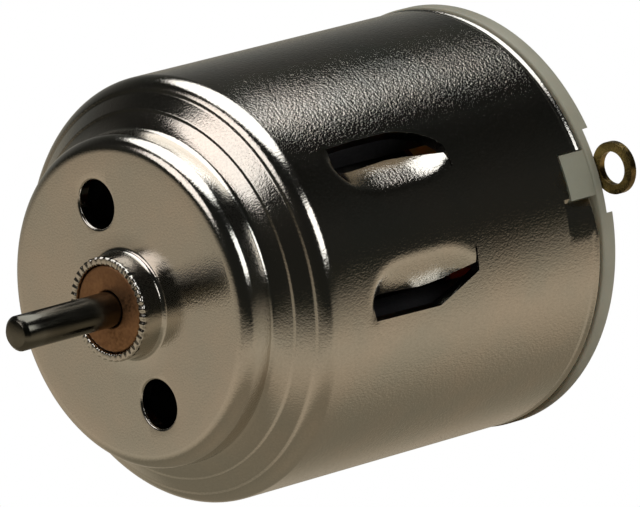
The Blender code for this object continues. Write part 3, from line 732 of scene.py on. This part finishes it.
MATERIALS = {
    "nickel_plated_steel": nickel_material(),
    "ground_steel": metal("ground_steel", (0.17, 0.165, 0.14), (0.12, 0.115, 0.095), 0.2, 5000, 0.3, (1, 0.06, 1)),
    "sintered_bronze": metal("sintered_bronze", (0.44, 0.25, 0.13), (0.34, 0.18, 0.09), 0.5, 5200, 0.5),
    "lamination_steel": metal("lamination_steel", (0.36, 0.34, 0.31), (0.22, 0.2, 0.19), 0.4, 2800, 0.6, (0.2, 1, 0.2)),
    "enamelled_copper": metal("enamelled_copper", (0.62, 0.24, 0.08), (0.42, 0.13, 0.05), 0.3, 2400, 0.8),
    "bare_copper": metal("bare_copper", (0.82, 0.42, 0.26), (0.66, 0.32, 0.18), 0.25, 4200, 0.3),
    "brass": metal("brass", (0.62, 0.45, 0.17), (0.13, 0.09, 0.035), 0.24, 4500, 0.25, tarnish_scale=900),
    "phosphor_bronze": metal("phosphor_bronze", (0.72, 0.46, 0.26), (0.58, 0.34, 0.18), 0.28, 3800, 0.25, (0.1, 1, 1)),
    "spring_steel": metal("spring_steel", (0.34, 0.33, 0.32), (0.22, 0.21, 0.2), 0.28, 3600, 0.2),
    "ferrite": matte("ferrite", (0.07, 0.07, 0.075), (0.03, 0.03, 0.035), 0.55, 4200, 0.4),
    "carbon": matte("carbon", (0.045, 0.045, 0.045), (0.02, 0.02, 0.02), 0.45, 5200, 0.3),
    "ivory_nylon": matte("ivory_nylon", (0.38, 0.37, 0.29), (0.32, 0.31, 0.235), 0.45, 2600, 0.15, subsurface_weight=0.05),
    "insulating_fibre": matte("insulating_fibre", (0.36, 0.10, 0.05), (0.24, 0.06, 0.03), 0.65, 3000, 0.5),
    "phenolic": matte("phenolic", (0.12, 0.07, 0.05), (0.07, 0.04, 0.03), 0.45, 3000, 0.2),
}


def paint(obj, slot):
    obj.data.materials.clear()
    obj.data.materials.append(MATERIALS[slot])


def paint_frame():
    """Every CAD node still on show takes the finish that the record names for it."""
    slots = {entry["node"]: entry["material_slot"] for entry in frame["record"]["subparts"]}
    for node, obj in frame["nodes"].items():
        if obj.hide_render:
            continue
        obj.data.materials.clear()
        obj.data.materials.append(MATERIALS[slots[node]])


# ---------------------------------------------------------------- stage, light and camera

# The photographed motor lies rolled about its shaft: this is the real upward direction.
ROLL = radians(25.15)
TRUE_UP = Vector((sin(ROLL), 0, cos(ROLL)))
SIDE = Vector((cos(ROLL), 0, -sin(ROLL)))
AHEAD = Vector((0, 1, 0))
MIDDLE = Vector((0, 0.013, 0))
LIGHT_DISTANCE = 0.5
WHITE = (1.0, 1.0, 1.0)

# What the metal mirrors, by degrees above the horizon: the room, and the paler far side.
ROOM_TONES = (
    (-90, (0.25, 0.21, 0.15)),
    (-46, (0.21, 0.18, 0.13)),
    (-34, (0.40, 0.34, 0.255)),
    (-23, (0.47, 0.40, 0.305)),
    (-14, (0.36, 0.305, 0.23)),
    (-4, (0.17, 0.145, 0.11)),
    (3, (0.018, 0.018, 0.014)),
    (20, (0.018, 0.018, 0.016)),
    (40, (0.007, 0.007, 0.006)),
    (90, (0.01, 0.01, 0.01)),
)
FAR_TONES = (
    (-90, (0.25, 0.21, 0.15)),
    (-46, (0.21, 0.18, 0.13)),
    (-30, (0.33, 0.28, 0.21)),
    (-10, (0.30, 0.28, 0.23)),
    (4, (0.16, 0.16, 0.15)),
    (14, (0.09, 0.09, 0.085)),
    (28, (0.03, 0.032, 0.028)),
    (40, (0.02, 0.021, 0.018)),
    (90, (0.01, 0.01, 0.01)),
)
WINDOW_TONES = (
    (-90, (0.25, 0.21, 0.15)),
    (-46, (0.21, 0.18, 0.13)),
    (-34, (0.40, 0.34, 0.255)),
    (-23, (0.45, 0.385, 0.295)),
    (-13, (0.17, 0.145, 0.11)),
    (-8, (0.016, 0.016, 0.013)),
    (20, (0.014, 0.014, 0.012)),
    (90, (0.01, 0.01, 0.01)),
)


def build_floor(height):
    """A plain pale floor, seen from above only: from the photograph's low angle it isn't there."""
    half = 3.0
    bm = bmesh.new()
    corners = [bm.verts.new((x * half, y * half, height)) for x, y in ((-1, -1), (1, -1), (1, 1), (-1, 1))]
    bm.faces.new(corners)
    mesh = bpy.data.meshes.new("floor")
    bm.to_mesh(mesh)
    bm.free()
    floor = bpy.data.objects.new("floor", mesh)
    bpy.context.scene.collection.objects.link(floor)
    n = Nodes("pale_floor")
    n.shader.inputs["Base Color"].default_value = (0.85, 0.84, 0.82, 1)
    n.shader.inputs["Roughness"].default_value = 0.7
    geometry = n.add("ShaderNodeNewGeometry")
    clear = n.add("ShaderNodeBsdfTransparent")
    choose = n.add("ShaderNodeMixShader")
    output = n.tree.nodes["Material Output"]
    n.link(geometry.outputs["Backfacing"], choose.inputs["Fac"])
    n.link(n.shader.outputs["BSDF"], choose.inputs[1])
    n.link(clear.outputs["BSDF"], choose.inputs[2])
    n.link(choose.outputs["Shader"], output.inputs["Surface"])
    mesh.materials.append(n.material)
    floor.visible_glossy = False
    floor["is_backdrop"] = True
    return floor


def direction(azimuth, elevation):
    """A direction from the motor: azimuth 0 along +Y and 90 towards the window side."""
    flat = AHEAD * cos(radians(azimuth)) + SIDE * sin(radians(azimuth))
    return flat * cos(radians(elevation)) + TRUE_UP * sin(radians(elevation))


def build_world():
    """Warm table tone below the horizon, dark room above it, and white behind everything."""
    world = bpy.data.worlds.new("studio")
    bpy.context.scene.world = world
    world.use_nodes = True
    tree = world.node_tree
    tree.nodes.clear()
    output = tree.nodes.new("ShaderNodeOutputWorld")
    light_path = tree.nodes.new("ShaderNodeLightPath")
    pick = tree.nodes.new("ShaderNodeMixShader")
    room = tree.nodes.new("ShaderNodeBackground")
    clean = tree.nodes.new("ShaderNodeBackground")
    clean.inputs["Color"].default_value = (*WHITE, 1)
    coordinates = tree.nodes.new("ShaderNodeTexCoord")

    def along(axis):
        dot = tree.nodes.new("ShaderNodeVectorMath")
        dot.operation = "DOT_PRODUCT"
        dot.inputs[1].default_value = axis
        tree.links.new(coordinates.outputs["Generated"], dot.inputs[0])
        return dot.outputs["Value"]

    def ramp(value, stops):
        node = tree.nodes.new("ShaderNodeValToRGB")
        shift = tree.nodes.new("ShaderNodeMapRange")
        shift.inputs["From Min"].default_value = -90
        shift.inputs["From Max"].default_value = 90
        angle = tree.nodes.new("ShaderNodeMath")
        angle.operation = "ARCSINE"
        degree = tree.nodes.new("ShaderNodeMath")
        degree.operation = "DEGREES"
        tree.links.new(value, angle.inputs[0])
        tree.links.new(angle.outputs[0], degree.inputs[0])
        tree.links.new(degree.outputs[0], shift.inputs["Value"])
        tree.links.new(shift.outputs["Result"], node.inputs["Fac"])
        elements = node.color_ramp.elements
        while len(elements) < len(stops):
            elements.new(0.5)
        for element, (elevation, color) in zip(elements, stops):
            element.position = (elevation + 90) / 180
            element.color = (*color, 1)
        return node.outputs["Color"]

    def blend(base, stops, toward, low, high):
        """Base, turning to another ramp in the directions near the given one."""
        near = tree.nodes.new("ShaderNodeMapRange")
        near.inputs["From Min"].default_value = low
        near.inputs["From Max"].default_value = high
        tree.links.new(along(toward), near.inputs["Value"])
        both = tree.nodes.new("ShaderNodeMix")
        both.data_type = "RGBA"
        tree.links.new(near.outputs["Result"], both.inputs["Factor"])
        colors = [socket for socket in both.inputs if socket.type == "RGBA"]
        tree.links.new(base, colors[0])
        tree.links.new(ramp(along(TRUE_UP), stops), colors[1])
        return [socket for socket in both.outputs if socket.type == "RGBA"][0]

    mirrored = ramp(along(TRUE_UP), ROOM_TONES)
    mirrored = blend(mirrored, FAR_TONES, direction(-50, 10), 0.55, 0.95)
    mirrored = blend(mirrored, WINDOW_TONES, direction(135, 0), 0.6, 0.8)
    tree.links.new(mirrored, room.inputs["Color"])
    tree.links.new(light_path.outputs["Is Camera Ray"], pick.inputs["Fac"])
    tree.links.new(room.outputs["Background"], pick.inputs[1])
    tree.links.new(clean.outputs["Background"], pick.inputs[2])
    tree.links.new(pick.outputs["Shader"], output.inputs["Surface"])


def area_light(name, azimuth, elevation, width, height, radiance, color=WHITE, shape="RECTANGLE"):
    """A soft box facing the motor, sized by the degrees it covers and set by its brightness."""
    toward = direction(azimuth, elevation)
    data = bpy.data.lights.new(name, "AREA")
    data.shape = shape
    data.size = 2 * LIGHT_DISTANCE * tan(radians(width / 2))
    data.size_y = 2 * LIGHT_DISTANCE * tan(radians(height / 2))
    area = data.size * data.size_y * (1 if shape == "RECTANGLE" else pi / 4)
    data.energy = radiance * pi * area
    data.color = color
    obj = bpy.data.objects.new(name, data)
    bpy.context.scene.collection.objects.link(obj)
    across = TRUE_UP.cross(toward).normalized()
    upright = toward.cross(across)
    turn = Matrix((across, upright, toward)).transposed()
    place = toward * LIGHT_DISTANCE + MIDDLE
    obj.matrix_world = Matrix.Translation(place) @ turn.to_4x4()
    obj.visible_camera = False
    return obj


def build_lights():
    area_light("overhead", -64, 75.5, 68, 68, 2.0, shape="DISK")
    area_light("window_side", 82, 32, 30, 26, 2.0)
    area_light("left_front", -162, 33, 44, 30, 1.6, color=(1.0, 0.94, 0.92), shape="ELLIPSE")


def build_camera():
    """The photograph's angle: from the front and the window side, with a long lens."""
    azimuth, elevation, roll = radians(47.089), radians(-2.628), radians(-17.489)
    distance = 0.542805
    back = Vector((sin(azimuth) * cos(elevation), -cos(azimuth) * cos(elevation), sin(elevation)))
    level = Vector((cos(azimuth), sin(azimuth), 0))
    upright = back.cross(level)
    right = cos(roll) * level + sin(roll) * upright
    up = cos(roll) * upright - sin(roll) * level
    data = bpy.data.cameras.new("camera")
    data.sensor_width = 36
    data.lens = 544.38
    data.clip_start = 0.01
    data.clip_end = 50
    camera = bpy.data.objects.new("camera", data)
    bpy.context.scene.collection.objects.link(camera)
    place = Vector((0, 0.013, 0)) + back * distance + right * 0.001437 + up * 0.000335
    turn = Matrix((right, up, back)).transposed().to_4x4()
    camera.matrix_world = Matrix.Translation(place) @ turn
    bpy.context.scene.camera = camera


# ---------------------------------------------------------------- put together

paint(build_can(), "nickel_plated_steel")
for bushing in build_bushings():
    paint(bushing, "sintered_bronze")
paint(build_shaft(), "ground_steel")
paint(build_end_cap(), "ivory_nylon")
for terminal_side, terminal_label in ((1, "right"), (-1, "left")):
    paint(build_terminal(terminal_side, terminal_label), "brass")
paint_frame()

build_world()
build_lights()
build_camera()
bpy.context.scene.view_settings.view_transform = "Standard"

build_floor(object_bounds()[0].z - 0.00002)
